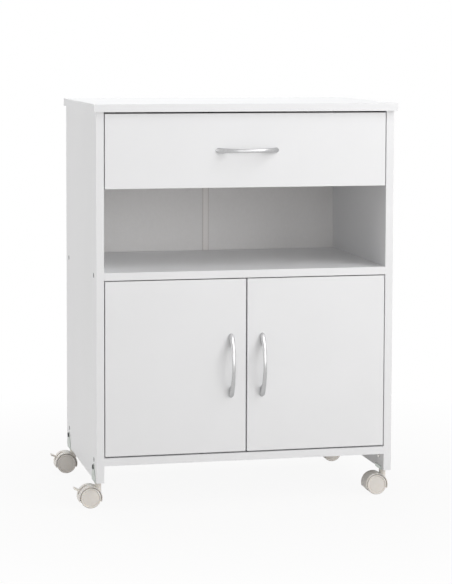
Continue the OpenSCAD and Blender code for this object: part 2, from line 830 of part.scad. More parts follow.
// A strip of steel, bent along points in the XY plane
function unit(v) = v / norm(v);
function side_of(a, b) = let (along = unit(b - a)) [-along.y, along.x];
function bend_corner(points, i, half) =
    let (last = len(points) - 1,
         before = side_of(points[max(i, 1) - 1], points[max(i, 1)]),
         after = side_of(points[min(i, last - 1)], points[min(i, last - 1) + 1]))
    points[i] + half * (before + after) / (1 + before * after);
module strip(points, t, w) {
    last = len(points) - 1;
    translate([0, 0, -w / 2]) linear_extrude(w) polygon(concat(
        [for (i = [0 : last]) bend_corner(points, i, t / 2)],
        [for (i = [0 : last]) bend_corner(points, last - i, -t / 2)]));
}
module left_hinge_arms() {
    arm_u = plate_block_h + hinge_arm_t / 2;
    bend = [for (p = arm_bend) [pivot_u + p.x, pivot_v + p.y]];
    path = concat(bend, [[arm_u, hinge_plate_v - arm_flat], [arm_u, hinge_plate_v + plate_len / 2]]);
    color(nickel) difference() {
        at_hinges() difference() {
            union() {
                strip(path, hinge_arm_t, hinge_arm_w);
                translate([pivot_u, pivot_v, 0]) bar_z(2 * hinge_eye_r, -hinge_arm_w / 2, hinge_arm_w / 2);
            }
            translate([pivot_u, pivot_v, 0])
                bar_z(hinge_pin_d + 2 * running_fit, -hinge_arm_w, hinge_arm_w);
        }
        left_arm_screws(hole_fit);
    }
}
module left_hinge_plates() {
    color(nickel) difference() {
        at_hinges() translate([0, hinge_plate_v, 0]) {
            block([0, plate_nose - plate_len / 2, -plate_block_w / 2],
                  [plate_block_h, plate_len / 2, plate_block_w / 2]);
            block([0, -plate_wing_d / 2, -plate_wing_w / 2],
                  [plate_wing_t, plate_wing_d / 2, plate_wing_w / 2]);
        }
        left_plate_screws(hole_fit);
        left_arm_screws(hole_fit);
    }
}

// Castor brackets: a tall leg outside the panel, a plate under its edge and a short lip inside
module left_castor_brackets() {
    color(zinc) for (y = castor_ys) translate([0, y, castor_h]) difference() {
        union() {
            translate([-carcass_w / 2, 0, 0]) rotate([0, -90, 0]) linear_extrude(bracket_t)
                polygon([[-bracket_t, -bracket_w / 2], [-bracket_t, bracket_w / 2],
                         [bracket_shoulder, bracket_w / 2], [bolt_rise, bracket_eye_r],
                         [bolt_rise, -bracket_eye_r], [bracket_shoulder, -bracket_w / 2]]);
            translate([-carcass_w / 2, 0, bolt_rise]) bar_x(2 * bracket_eye_r, -bracket_t, 0);
            block([-carcass_w / 2 - bracket_t, -bracket_w / 2, -bracket_t],
                  [-inner_w / 2 + bracket_t, bracket_w / 2, 0]);
            block([-inner_w / 2, -bracket_w / 2, -bracket_t],
                  [-inner_w / 2 + bracket_t, bracket_w / 2, bracket_lip]);
        }
        translate([-carcass_w / 2, 0, bolt_rise]) bar_x(bolt_d + 2 * hole_fit, -bracket_t - cut, cut);
        translate([-stem_x, 0, 0]) bar_z(stem_d + 2 * hole_fit, -bracket_t - cut, cut);
    }
}
module castor_stems() {
    color(zinc) both_sides() for (y = castor_ys) translate([-stem_x, y, 0]) {
        bar_z(stem_d, stem_foot, castor_h + stem_reach);
        bar_z(collar_d, z_plate - collar_t, z_plate);
        bar_z(grip_ring_d, castor_h + stem_reach / 2, castor_h + stem_reach / 2 + grip_ring_t);
    }
}

// A castor, with its stem on the Z axis and its wheels trailing towards -X
module at_castor(side, row) {
    translate([side * stem_x, castor_ys[row], 0]) children();
}
module at_axle() {
    translate([-trail, 0, wheel_r]) children();
}
// The hood's outer form: a drum with rounded rims
module hood_drum(half) {
    rotate([90, 0, 0]) rotate_extrude() for (side = [0, 1]) mirror([0, side]) {
        square([hood_r - hood_round, half]);
        square([hood_r, half - hood_round]);
        translate([hood_r - hood_round, half - hood_round]) circle(hood_round);
    }
}
module castor_housing(braked) {
    half = castor_half_w - hood_inset;
    slot = lever_w / 2 + lever_slot_gap;
    color(castor_cream) difference() {
        union() {
            at_axle() hood_drum(half);
            bar_z(boss_d, wheel_r, z_boss);
        }
        for (side = [0, 1]) mirror([0, side, 0]) at_axle()
            bar_y(2 * (wheel_r + wheel_gap), web_w / 2, castor_half_w + cut);
        block([-trail - hood_r - cut, -castor_half_w - cut, -hood_r],
              [hood_r, castor_half_w + cut, hood_foot]);
        bar_z(stem_d + 2 * running_fit, stem_foot - stem_end_gap, castor_h);
        at_axle() bar_y(axle_d + 2 * running_fit, -castor_half_w, castor_half_w);
        if (braked) at_axle() {
            translate([-lever_pin.x, 0, lever_pin.y])
                bar_y(lever_pin_d + 2 * running_fit, -web_w / 2 - cut / 2, web_w / 2 + cut / 2);
            block([-hood_r - cut, -slot, lever_pin.y - lever_eye_r - lever_room_below],
                  [-lever_pin.x + lever_eye_r + lever_room_behind, slot, hood_r + cut]);
        }
    }
}
// One wheel as a turned shape: a rounded tread, then a rim with the disc set in behind it
module wheel() {
    r = wheel_r;
    rotate([-90, 0, 0]) difference() {
        rotate_extrude() polygon(concat(
            [[0, 0], [r - rim_r, 0], [r - tread_edge, tread_edge], [r, rim_r],
             [r, wheel_w - 2 * rim_r], [r - tread_edge, wheel_w - rim_r]],
            [for (step = rim_bead) [r - step.x, wheel_w - step.y]],
            [[r - rim_w, wheel_w - 2 * disc_step], [r / 2, wheel_w - disc_step],
             [r / 4, wheel_w - disc_step / 2], [0, wheel_w - disc_step / 2]]));
        translate([0, 0, -cut]) cylinder(d = axle_d + 2 * running_fit, h = wheel_w - axle_end_gap + cut);
    }
}
module castor_wheels() {
    color(castor_cream) at_axle() {
        for (side = [0, 1]) mirror([0, side, 0])
            translate([0, web_w / 2 + wheel_side_gap, 0]) wheel();
        bar_y(axle_d, axle_room - castor_half_w, castor_half_w - axle_room);
    }
}
module brake_lever() {
    reach = lever_tip - lever_pin;
    color(castor_cream) at_axle() translate([-lever_pin.x, 0, lever_pin.y]) {
        bar_y(2 * lever_eye_r, -lever_w / 2, lever_w / 2);
        bar_y(lever_pin_d, lever_pin_room - web_w / 2, web_w / 2 - lever_pin_room);
        rotate([0, atan2(reach.y, reach.x), 0])
            translate([-norm(reach), 0, -lever_t / 2]) linear_extrude(lever_t)
                polygon([[0, -paddle_w / 2], [paddle_len, -paddle_w / 2],
                         [paddle_len + paddle_flare, -lever_w / 2], [norm(reach), -lever_w / 2],
                         [norm(reach), lever_w / 2], [paddle_len + paddle_flare, lever_w / 2],
                         [paddle_len, paddle_w / 2], [0, paddle_w / 2]]);
        translate([-reach.x, 0, reach.y]) bar_y(lever_tip_d, -lever_tip_w / 2, lever_tip_w / 2);
    }
}

top_panel();
side_panel();  // left_side_panel
mirror([1, 0, 0]) side_panel();  // right_side_panel
fixed_panel(z_shelf);  // middle_shelf
fixed_panel(z_bottom);  // bottom_panel
back_panel();  // back_panel_left
mirror([1, 0, 0]) back_panel();  // back_panel_right
back_joiner_strip();
cupboard_shelf();
color(zinc) both_sides() left_shelf_pins();  // shelf_pins
color(dark_steel) both_sides() left_panel_screws();  // panel_screws
color(steel) both_sides() left_cam_bolts();  // cam_bolts
both_sides() cam_locks();
left_cabinet_runner();
mirror([1, 0, 0]) left_cabinet_runner();  // right_cabinet_runner
color(steel) both_sides() left_cabinet_runner_screws();  // cabinet_runner_screws
cabinet_rollers();
both_sides() left_hinge_plates();  // hinge_plates
both_sides() left_hinge_arms();  // hinge_arms
color(steel) both_sides() left_hinge_screws();  // hinge_screws
both_sides() left_castor_brackets();  // castor_brackets
color(dark_steel) both_sides() left_bracket_bolts();  // bracket_bolts
color(nickel) both_sides() left_bracket_nuts();  // bracket_nuts
castor_stems();
drawer_front();
drawer_left_side();
mirror([1, 0, 0]) drawer_left_side();  // drawer_right_side
drawer_back();
drawer_bottom();
at_drawer_handle() bow_handle();  // drawer_handle
color(steel) drawer_handle_screws();
color(steel) both_sides() left_drawer_cam_bolts();  // drawer_cam_bolts
both_sides() drawer_cam_locks();
color(steel) both_sides() left_drawer_screws();  // drawer_screws
left_drawer_runner();
mirror([1, 0, 0]) left_drawer_runner();  // right_drawer_runner
color(steel) both_sides() left_drawer_runner_screws();  // drawer_runner_screws
drawer_rollers();
door();  // left_door
at_door_handle() bow_handle();  // left_door_handle
door_handle_screws();  // left_handle_screws
hinge_cups();  // left_hinge_cups
hinge_pins();  // left_hinge_pins
color(steel) cup_screws();  // left_cup_screws
mirror([1, 0, 0]) door();  // right_door
mirror([1, 0, 0]) at_door_handle() bow_handle();  // right_door_handle
mirror([1, 0, 0]) door_handle_screws();  // right_handle_screws
mirror([1, 0, 0]) hinge_cups();  // right_hinge_cups
mirror([1, 0, 0]) hinge_pins();  // right_hinge_pins
color(steel) mirror([1, 0, 0]) cup_screws();  // right_cup_screws
at_castor(-1, 0) castor_housing(true);  // front_left_castor_housing
at_castor(-1, 0) castor_wheels();  // front_left_castor_wheels
at_castor(-1, 0) brake_lever();  // front_left_brake_lever
at_castor(-1, 1) castor_housing(true);  // rear_left_castor_housing
at_castor(-1, 1) castor_wheels();  // rear_left_castor_wheels
at_castor(-1, 1) brake_lever();  // rear_left_brake_lever
at_castor(1, 0) castor_housing(false);  // front_right_castor_housing
at_castor(1, 0) castor_wheels();  // front_right_castor_wheels
at_castor(1, 1) castor_housing(false);  // rear_right_castor_housing
at_castor(1, 1) castor_wheels();  // rear_right_castor_wheels
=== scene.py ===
# %% [markdown]
# # A printer cabinet on castors
# A white board cabinet with a drawer, an open niche and a cupboard with two doors. Its working parts come
# ready made, as exact solids that already sit on the bodies that move: panels, runners, hinges, castors.
# This lesson gives them their finishes, models the pieces whose form a machine shop's solid leaves plain, and
# lights the whole like a catalogue picture. Everything is in metres, with -Y towards the viewer and +Z up.

# %% Load the solids
import json
import math

import bmesh
import bpy
from mathutils import Matrix, Vector


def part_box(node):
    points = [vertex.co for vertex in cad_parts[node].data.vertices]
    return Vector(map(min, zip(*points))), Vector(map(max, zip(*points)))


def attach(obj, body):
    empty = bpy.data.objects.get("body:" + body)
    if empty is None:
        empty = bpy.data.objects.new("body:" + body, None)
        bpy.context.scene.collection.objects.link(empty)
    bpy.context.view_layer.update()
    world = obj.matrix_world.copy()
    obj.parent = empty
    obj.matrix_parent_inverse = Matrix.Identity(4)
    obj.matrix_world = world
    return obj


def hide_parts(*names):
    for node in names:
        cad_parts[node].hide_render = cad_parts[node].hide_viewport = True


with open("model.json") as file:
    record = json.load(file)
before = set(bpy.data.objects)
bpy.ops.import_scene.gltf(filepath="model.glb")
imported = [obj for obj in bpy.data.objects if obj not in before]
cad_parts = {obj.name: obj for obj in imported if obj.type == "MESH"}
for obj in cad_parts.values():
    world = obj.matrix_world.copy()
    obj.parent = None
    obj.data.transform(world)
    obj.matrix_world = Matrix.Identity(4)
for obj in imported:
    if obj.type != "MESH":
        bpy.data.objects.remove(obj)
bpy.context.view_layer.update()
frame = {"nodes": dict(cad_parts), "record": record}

# %% [markdown]
# ## The camera
# The photograph was taken from just above the cabinet's top and a little to its left, from far away with a
# long lens. Its upright edges are parallel, and a camera that looks down makes them lean together. A view
# camera stays level and slides its lens down instead, which Blender calls shift. A strong shift would push the
# cabinet out of the picture from other sides, so here the camera looks down a few degrees and a small shift
# does the rest. The uprights then lean by less than half a degree.

# %% Camera
PICTURE_HEIGHT_PX = 584
FOCAL_LENGTH_PX = 2002.5
SENSOR_MM = 36
LENS_SHIFT = -0.165
CAMERA_PLACE = (-0.8982, -3.9398, 0.8993)

turn_right = math.radians(12.861)
tilt_down = math.radians(4.406)
roll = math.radians(0.17)
lens = bpy.data.cameras.new("catalogue_camera")
lens.sensor_width = SENSOR_MM
lens.lens = FOCAL_LENGTH_PX * SENSOR_MM / PICTURE_HEIGHT_PX
lens.shift_y = LENS_SHIFT
camera = bpy.data.objects.new("catalogue_camera", lens)
bpy.context.scene.collection.objects.link(camera)
camera.matrix_world = (
    Matrix.Translation(CAMERA_PLACE)
    @ Matrix.Rotation(-turn_right, 4, "Z")
    @ Matrix.Rotation(math.pi / 2 - tilt_down, 4, "X")
    @ Matrix.Rotation(roll, 4, "Z")
)
bpy.context.scene.camera = camera
bpy.context.scene.view_settings.view_transform = "Standard"
print("lens", round(lens.lens, 1), "mm")

# %% [markdown]
# ## Building materials from nodes
# Every finish here is a Principled shader. What is the same all over goes straight on its sockets. What varies,
# such as the grain of a coating or the tooth of a moulding, comes from noise in object space, so it sits still
# on a door that swings. Small helpers keep each recipe short. The first few make numbers and colours that vary
# from place to place. The others start a finish and lay such a value on its colour, roughness or relief.

# %% Values that vary over a surface
# Where a Mix node keeps its two colours and its result
MIX_A, MIX_B, MIX_RESULT = 6, 7, 2


def object_noise(tree, scale, detail=2.0, stretch=(1, 1, 1)):
    """Noise in object space; stretch draws it out along an axis, like brushing."""
    place = tree.nodes.new("ShaderNodeTexCoord")
    squeeze = tree.nodes.new("ShaderNodeMapping")
    squeeze.inputs["Scale"].default_value = stretch
    noise = tree.nodes.new("ShaderNodeTexNoise")
    noise.inputs["Scale"].default_value = scale
    noise.inputs["Detail"].default_value = detail
    tree.links.new(place.outputs["Object"], squeeze.inputs["Vector"])
    tree.links.new(squeeze.outputs["Vector"], noise.inputs["Vector"])
    return noise.outputs["Fac"]


def coordinate(tree, kind, axis):
    """One axis of a point's place (Object) or of its facing (Normal), in the object's own space."""
    place = tree.nodes.new("ShaderNodeTexCoord")
    axes = tree.nodes.new("ShaderNodeSeparateXYZ")
    tree.links.new(place.outputs[kind], axes.inputs["Vector"])
    return axes.outputs[axis]


def spread(tree, value, low=0, high=1, from_low=0.3, from_high=0.7):
    """Maps one range of numbers onto another; without from_low and from_high, the middle of a noise."""
    remap = tree.nodes.new("ShaderNodeMapRange")
    remap.inputs["From Min"].default_value = from_low
    remap.inputs["From Max"].default_value = from_high
    remap.inputs["To Min"].default_value = low
    remap.inputs["To Max"].default_value = high
    tree.links.new(value, remap.inputs["Value"])
    return remap.outputs["Result"]


def tint(tree, value, colour, other):
    """Blends two colours by a value from 0 to 1."""
    mix = tree.nodes.new("ShaderNodeMix")
    mix.data_type = "RGBA"
    tree.links.new(value, mix.inputs["Factor"])
    mix.inputs[MIX_A].default_value = (*colour, 1)
    mix.inputs[MIX_B].default_value = (*other, 1)
    return mix.outputs[MIX_RESULT]


print("helpers for varying values ready")

# %% Finishes
def new_finish(name, colour, roughness=0.5, metallic=0.0, specular=0.5):
    """A material, with its node tree and its Principled shader."""
    finish = bpy.data.materials.new(name)
    finish.use_nodes = True
    shader = finish.node_tree.nodes["Principled BSDF"]
    shader.inputs["Base Color"].default_value = (*colour, 1)
    shader.inputs["Roughness"].default_value = roughness
    shader.inputs["Metallic"].default_value = metallic
    shader.inputs["Specular IOR Level"].default_value = specular
    return finish, finish.node_tree, shader


def cloud_colour(tree, shader, cloud, colour, other):
    """Lets a noise drift the base colour between two tones."""
    tree.links.new(tint(tree, spread(tree, cloud), colour, other), shader.inputs["Base Color"])


def bump(tree, shader, height, depth, strength):
    """Lays a relief of that depth, in metres, on the shader."""
    relief = tree.nodes.new("ShaderNodeBump")
    relief.inputs["Strength"].default_value = strength
    relief.inputs["Distance"].default_value = depth
    tree.links.new(height, relief.inputs["Height"])
    tree.links.new(relief.outputs["Normal"], shader.inputs["Normal"])


def roughen(tree, shader, grain, low, high, depth, strength):
    """Lets one noise vary the roughness between two values and lay a relief, as real grain does both."""
    tree.links.new(spread(tree, grain, low, high), shader.inputs["Roughness"])
    bump(tree, shader, grain, depth, strength)


print("helpers for finishes ready")

# %% [markdown]
# ## White melamine
# The boards are chipboard pressed between two sheets of white melamine. The sheet isn't glossy: it has a fine
# pearl, pressed in by a textured plate, which spreads the highlights. A photograph of the texture could show
# that, but noise needs no file and never repeats. A slow drift of the tone and a little unevenness in the
# roughness keep a large white panel from looking like paper.

# %% Board finish
BOARD_WHITE = (0.888, 0.893, 0.905)
BOARD_SHADE = (0.872, 0.877, 0.888)

melamine, tree, shader = new_finish("white_melamine", BOARD_WHITE, specular=0.45)
cloud_colour(tree, shader, object_noise(tree, scale=7, detail=3), BOARD_WHITE, BOARD_SHADE)
pearl = object_noise(tree, scale=900, detail=3)
roughen(tree, shader, pearl, low=0.36, high=0.5, depth=0.00006, strength=0.35)
print("made", melamine.name)

# %% [markdown]
# ## Painted hardboard
# The back is 3 mm hardboard. Its mill paints only the side that will be seen, duller than the boards, and
# leaves the other side brown. One material can do both, because a face knows which way it points: the object's
# own normal picks the paint or the raw fibre. Both are mottled by the same noise, because the fibres show
# through the thin paint.

# %% Hardboard finish
PAINTED = [(0.865, 0.855, 0.85), (0.845, 0.834, 0.828)]
RAW_FIBRE = [(0.30, 0.185, 0.105), (0.40, 0.26, 0.155)]
# How far back a face has to point to be a rear one, from 0 for sideways to 1 for straight back
POINTS_BACK = 0.5

hardboard, tree, shader = new_finish("painted_hardboard", PAINTED[0], roughness=0.6, specular=0.3)
raw_side = tree.nodes.new("ShaderNodeMath")
raw_side.operation = "GREATER_THAN"
raw_side.inputs[1].default_value = POINTS_BACK
tree.links.new(coordinate(tree, "Normal", "Y"), raw_side.inputs[0])
fibres = object_noise(tree, scale=240, detail=5, stretch=(1, 1, 0.6))
mottle = spread(tree, fibres)
side = tree.nodes.new("ShaderNodeMix")
side.data_type = "RGBA"
tree.links.new(raw_side.outputs["Value"], side.inputs["Factor"])
tree.links.new(tint(tree, mottle, *PAINTED), side.inputs[MIX_A])
tree.links.new(tint(tree, mottle, *RAW_FIBRE), side.inputs[MIX_B])
tree.links.new(side.outputs[MIX_RESULT], shader.inputs["Base Color"])
bump(tree, shader, fibres, depth=0.00005, strength=0.25)
print("made", hardboard.name)

# %% [markdown]
# ## The joiner strip
# The strip that joins the two halves of the back is extruded plastic, a shade warmer than the paint, with
# faint lines along its length from the die. Along its two lips the colour is darkened, which is painted shade
# for the shadow in the crease where each lip meets the hardboard. A second material on the lips would need
# faces of their own, so the distance from the strip's middle darkens the colour instead.

# %% Strip finish
STRIP_COLOUR = (0.87, 0.845, 0.83)
# The next three set the painted shade along the lips: its colour, and the band it ramps across
LIP_SHADE_COLOUR = (0.50, 0.45, 0.42)
LIP_SHADE_WIDTH = 0.0011
LIP_SHADE_SOLID_WIDTH = 0.0005
strip_low, strip_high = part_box("back_joiner_strip")
strip_half = (strip_high.x - strip_low.x) / 2

strip_plastic, tree, shader = new_finish("joiner_plastic", STRIP_COLOUR, roughness=0.38)
from_middle = tree.nodes.new("ShaderNodeMath")
from_middle.operation = "ABSOLUTE"
tree.links.new(coordinate(tree, "Object", "X"), from_middle.inputs[0])
# Painted shade: a band along both lips, darkest at the strip's edges, for the shadow where they meet the
# hardboard
lip_shade = spread(tree, from_middle.outputs["Value"],
             from_low=strip_half - LIP_SHADE_WIDTH, from_high=strip_half - LIP_SHADE_SOLID_WIDTH)
tree.links.new(tint(tree, lip_shade, STRIP_COLOUR, LIP_SHADE_COLOUR), shader.inputs["Base Color"])
die_lines = object_noise(tree, scale=1500, stretch=(1, 1, 0.004))
bump(tree, shader, die_lines, depth=0.00004, strength=0.4)
print("made", strip_plastic.name, "for a strip", round(2000 * strip_half, 1), "mm wide")

# %% [markdown]
# ## Metals
# Four metals meet on this cabinet: satin chrome on the handles, zinc plate on the brackets and stems, nickel
# on the hinges, and plain steel screws, some of them darkened. Metal shows what surrounds it, so the
# difference lies mostly in roughness and in the tint of the reflection.

# %% Handles: satin chrome
satin_chrome, tree, shader = new_finish("satin_chrome", (0.49, 0.49, 0.495), metallic=1.0)
satin = object_noise(tree, scale=1200)
roughen(tree, shader, satin, low=0.24, high=0.32, depth=0.00002, strength=0.3)
print("made", satin_chrome.name)

# %% Brackets and stems: zinc plate
ZINC_LIGHT = (0.50, 0.53, 0.49)
ZINC_DARK = (0.40, 0.44, 0.42)

zinc, tree, shader = new_finish("zinc_plate", ZINC_LIGHT, metallic=1.0)
crystals = object_noise(tree, scale=180, detail=4)
cloud_colour(tree, shader, crystals, ZINC_LIGHT, ZINC_DARK)
roughen(tree, shader, crystals, low=0.28, high=0.46, depth=0.00004, strength=0.3)
print("made", zinc.name)

# %% Hinges: nickel plate
nickel, tree, shader = new_finish("nickel_plate", (0.70, 0.68, 0.65), metallic=1.0)
haze = object_noise(tree, scale=400, detail=3)
roughen(tree, shader, haze, low=0.18, high=0.3, depth=0.00002, strength=0.2)
print("made", nickel.name)

# %% Screws: plain and dark steel
screw_steel, tree, shader = new_finish("screw_steel", (0.58, 0.58, 0.57), metallic=1.0)
rubbed = object_noise(tree, scale=700)
roughen(tree, shader, rubbed, low=0.26, high=0.44, depth=0.00003, strength=0.3)

dark_steel, tree, shader = new_finish("dark_steel", (0.075, 0.075, 0.08), metallic=0.85)
oiled = object_noise(tree, scale=700)
roughen(tree, shader, oiled, low=0.34, high=0.52, depth=0.00003, strength=0.3)
print("made", screw_steel.name, "and", dark_steel.name)

# %% [markdown]
# ## Coated steel and moulded plastics
# The runners are folded steel with a white powder coat, which dries with a skin like orange peel. The castors
# and the rollers are nylon. Nylon lets a little light in, which softens its shadows, so the castors' nylon gets
# a touch of subsurface scattering.

# %% Runners and rollers
powder_coat, tree, shader = new_finish("powder_coat", (0.82, 0.82, 0.81), roughness=0.4)
peel = object_noise(tree, scale=520, detail=1)
bump(tree, shader, peel, depth=0.0001, strength=0.35)

roller_nylon, tree, shader = new_finish("roller_nylon", (0.80, 0.80, 0.78), roughness=0.35)
flow = object_noise(tree, scale=300)
bump(tree, shader, flow, depth=0.00004, strength=0.3)
print("made", powder_coat.name, "and", roller_nylon.name)

# %% Castors
NYLON_LIGHT = (0.835, 0.80, 0.755)
NYLON_DARK = (0.80, 0.765, 0.715)

castor_nylon, tree, shader = new_finish("castor_nylon", NYLON_LIGHT)
shader.inputs["Subsurface Weight"].default_value = 0.08
shader.inputs["Subsurface Radius"].default_value = (0.004, 0.003, 0.002)
cloud_colour(tree, shader, object_noise(tree, scale=90, detail=3), NYLON_LIGHT, NYLON_DARK)
tooth = object_noise(tree, scale=1400)
roughen(tree, shader, tooth, low=0.32, high=0.44, depth=0.00003, strength=0.3)
print("made", castor_nylon.name)

# %% [markdown]
# ## Dressing the solids
# A solid from a drawing has perfectly sharp edges, and nothing real does. A sharp edge also catches no light,
# so the object looks drawn. A Bevel node in the shader would only bend the light and leave the outline sharp,
# so the edges are rounded in the mesh. The solids arrive as triangles with split corners. Three modifiers run
# first to last: Weld closes the corners, Decimate turns flat patches back into single faces, and Bevel then
# rounds only what is really an edge. Weighted normals keep the flats flat.

# %% What each material slot wears
# Its finish, and the radius of its edges in metres
DRESS_OF_SLOT = {
    "white_board": (melamine, 0.0007),
    "white_hardboard": (hardboard, 0.0002),
    "joiner_plastic": (strip_plastic, 0.00015),
    "zinc_plate": (zinc, 0.0003),
    "nickel_plate": (nickel, 0.0003),
    "runner_steel": (powder_coat, 0.0003),
    "roller_plastic": (roller_nylon, 0.0005),
    "castor_plastic": (castor_nylon, 0.0006),
    "fastener_steel": (screw_steel, 0.0002),
    "dark_steel": (dark_steel, 0.0003),
    "satin_chrome": (satin_chrome, 0.001),
}
print("finishes for", len(DRESS_OF_SLOT), "slots")

# %% Dress every solid
WELD_DISTANCE = 0.00001
FLAT_WITHIN_DEGREES = 0.5


def soften(piece, radius, angle=40, segments=3):
    """Rounds the edges that are sharper than an angle, and keeps the flats flat."""
    soft = piece.modifiers.new("soft_edges", "BEVEL")
    soft.width = radius
    soft.segments = segments
    soft.limit_method = "ANGLE"
    soft.angle_limit = math.radians(angle)
    shade = piece.modifiers.new("flat_shading", "WEIGHTED_NORMAL")
    shade.keep_sharp = True


def round_edges(piece, radius):
    """Rounds the real edges of a solid that came as triangles."""
    weld = piece.modifiers.new("close_corners", "WELD")
    weld.merge_threshold = WELD_DISTANCE
    flat = piece.modifiers.new("flat_faces", "DECIMATE")
    flat.decimate_type = "DISSOLVE"
    flat.angle_limit = math.radians(FLAT_WITHIN_DEGREES)
    soften(piece, radius, angle=32, segments=2)


slot_of = {row["node"]: row["material_slot"] for row in frame["record"]["subparts"]}
for name, solid in frame["nodes"].items():
    finish, edge_radius = DRESS_OF_SLOT[slot_of[name]]
    solid.data.materials.clear()
    solid.data.materials.append(finish)
    round_edges(solid, edge_radius)
print("dressed", len(slot_of), "solids")

# %% [markdown]
# ## Shapes from rings of points
# The solids carry the form of every piece. Two kinds of piece deserve a finer one, because their highlights
# tell how they were made: the cast handles and the moulded wheels. Sculpting would work, but both follow a
# plain rule, so rings of points skinned into a mesh are quicker and stay exact. A handle's rings follow its
# bow, and a wheel's rings circle its axle, as on a lathe.

# %% Skin and lathe
def finished_mesh(shell, name, smooth_below=math.radians(35)):
    """Turns a bmesh into an object whose gentle edges shade smooth."""
    bmesh.ops.recalc_face_normals(shell, faces=shell.faces)
    data = bpy.data.meshes.new(name)
    shell.to_mesh(data)
    shell.free()
    data.shade_smooth()
    data.set_sharp_from_angle(angle=smooth_below)
    piece = bpy.data.objects.new(name, data)
    bpy.context.scene.collection.objects.link(piece)
    return piece


def skin_rings(shell, rings):
    """Adds one closed skin over rings of points, with a face on each end."""
    loops = [[shell.verts.new(point) for point in ring] for ring in rings]
    for near, far in zip(loops, loops[1:]):
        for i in range(len(near)):
            j = (i + 1) % len(near)
            shell.faces.new((near[i], near[j], far[j], far[i]))
    shell.faces.new(loops[0])
    shell.faces.new(loops[-1])


def turn_outline(shell, outline, place, flip=1, steps=96):
    """Turns an outline of (radius, along) points about the Y axis; its ends lie on the axis."""
    angles = [2 * math.pi * i / steps for i in range(steps)]
    loops = []
    for radius, along in outline:
        if radius == 0:
            loops.append([shell.verts.new(place + Vector((0, flip * along, 0)))])
        else:
            ring = [Vector((radius * math.cos(a), flip * along, radius * math.sin(a))) for a in angles]
            loops.append([shell.verts.new(place + point) for point in ring])
    for near, far in zip(loops, loops[1:]):
        for i in range(steps):
            j = (i + 1) % steps
            corners = [near[i % len(near)], near[j % len(near)], far[j % len(far)], far[i % len(far)]]
            # At the axis two corners are the same point, and the face is a triangle
            shell.faces.new(list(dict.fromkeys(corners)))


print("skin and lathe ready")

# %% [markdown]
# ## The bow handles
# Each handle is a zinc casting, bent like a bow, with a foot at each end that a screw enters from behind. It
# is narrowest in the middle and ends in round tongues. Its section is a rounded oblong, flatter than an
# ellipse, which is what a superellipse gives. A curve with a bevel could make the bow, but not its changing
# width, so the strap is skinned over sections that stand across the bow.

# %% Handle measures
handle_low, handle_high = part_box("drawer_handle")
HANDLE_LENGTH, HANDLE_REACH, FOOT_WIDTH = handle_high - handle_low
STRAP_THICKNESS = 0.0045
WAIST_WIDTH = 0.0064
SECTION_POWER = 2.2
TIP_HALF_WIDTH = 0.0002
bow_radius = ((HANDLE_LENGTH / 2) ** 2 + HANDLE_REACH ** 2) / (2 * HANDLE_REACH)
bow_depth = bow_radius - HANDLE_REACH
print("handle", round(HANDLE_LENGTH * 1000, 1), "mm long, bow radius", round(bow_radius * 1000, 1), "mm")

# %% Sections of the strap
def half_width(along):
    """Half of the strap's width: a waist in the middle, and a round tongue at each end."""
    tongue = (HANDLE_LENGTH - FOOT_WIDTH) / 2
    past = abs(along) - tongue
    if past > 0:
        return math.sqrt(max((FOOT_WIDTH / 2) ** 2 - past ** 2, TIP_HALF_WIDTH ** 2))
    return (WAIST_WIDTH + (FOOT_WIDTH - WAIST_WIDTH) * (along / tongue) ** 2) / 2


def rounded(wave, power):
    """A sine or cosine, squared off for a superellipse of that power."""
    return math.copysign(abs(wave) ** (2 / power), wave)


def strap_rings(stations=97, points=40):
    """Sections across the bow, from one tongue to the other, as (along, out, across)."""
    reach_angle = math.asin(HANDLE_LENGTH / 2 / bow_radius)
    middle = bow_radius - STRAP_THICKNESS / 2
    rings = []
    for i in range(stations):
        angle = reach_angle * (2 * i / (stations - 1) - 1)
        half = half_width(bow_radius * math.sin(angle))
        ring = []
        for k in range(points):
            turn = 2 * math.pi * k / points
            radius = middle + STRAP_THICKNESS / 2 * rounded(math.sin(turn), SECTION_POWER)
            ring.append(Vector((radius * math.sin(angle), radius * math.cos(angle) - bow_depth,
                                half * rounded(math.cos(turn), SECTION_POWER))))
        rings.append(ring)
    return rings


print("strap of", len(strap_rings()), "sections")

# %% [markdown]
# ## The handles' feet
# A foot is a wedge under the strap: its inner edge leans from the board up to the strap, and its outer edge
# follows the tongue. Strap and feet could share one skin only if their sections matched, so they are skinned
# apart. Each foot reaches a little into the strap and a little below the board. An exact boolean then unites
# them, a cut on the board's plane makes the back flat, and a bevel softens the lines where they meet, as a
# casting's are.

# %% Sections of a foot
# The first three are places along the handle, from its middle
FOOT_START = 0.0354
FOOT_END = 0.057
FOOT_MEETS_BOARD = 0.044
FOOT_LEAN = 0.015
FOOT_INSET = 0.0007
FOOT_INTO_STRAP = 0.001
BELOW_BOARD = 0.001


def foot_rings(side, stations=24):
    """Sections of one foot, from its leaning inner edge to the tongue."""
    inner_radius = bow_radius - STRAP_THICKNESS
    rings = []
    for i in range(stations):
        along = FOOT_START + (FOOT_END - FOOT_START) * i / (stations - 1)
        low = max((FOOT_MEETS_BOARD - along) * HANDLE_REACH / FOOT_LEAN, -BELOW_BOARD)
        high = math.sqrt(inner_radius ** 2 - along ** 2) - bow_depth + FOOT_INTO_STRAP
        half = half_width(along) - FOOT_INSET
        rings.append([Vector((side * along, out, across)) for out, across in
                      ((low, -half), (high, -half), (high, half), (low, half))])
    return rings


print("foot of", len(foot_rings(side=1)), "sections")

# %% Strap and feet in one mesh
def apply_modifiers(piece):
    """Bakes a piece's modifiers into its mesh."""
    bpy.context.view_layer.update()
    solid = piece.evaluated_get(bpy.context.evaluated_depsgraph_get())
    data = bpy.data.meshes.new_from_object(solid)
    piece.modifiers.clear()
    piece.data = data


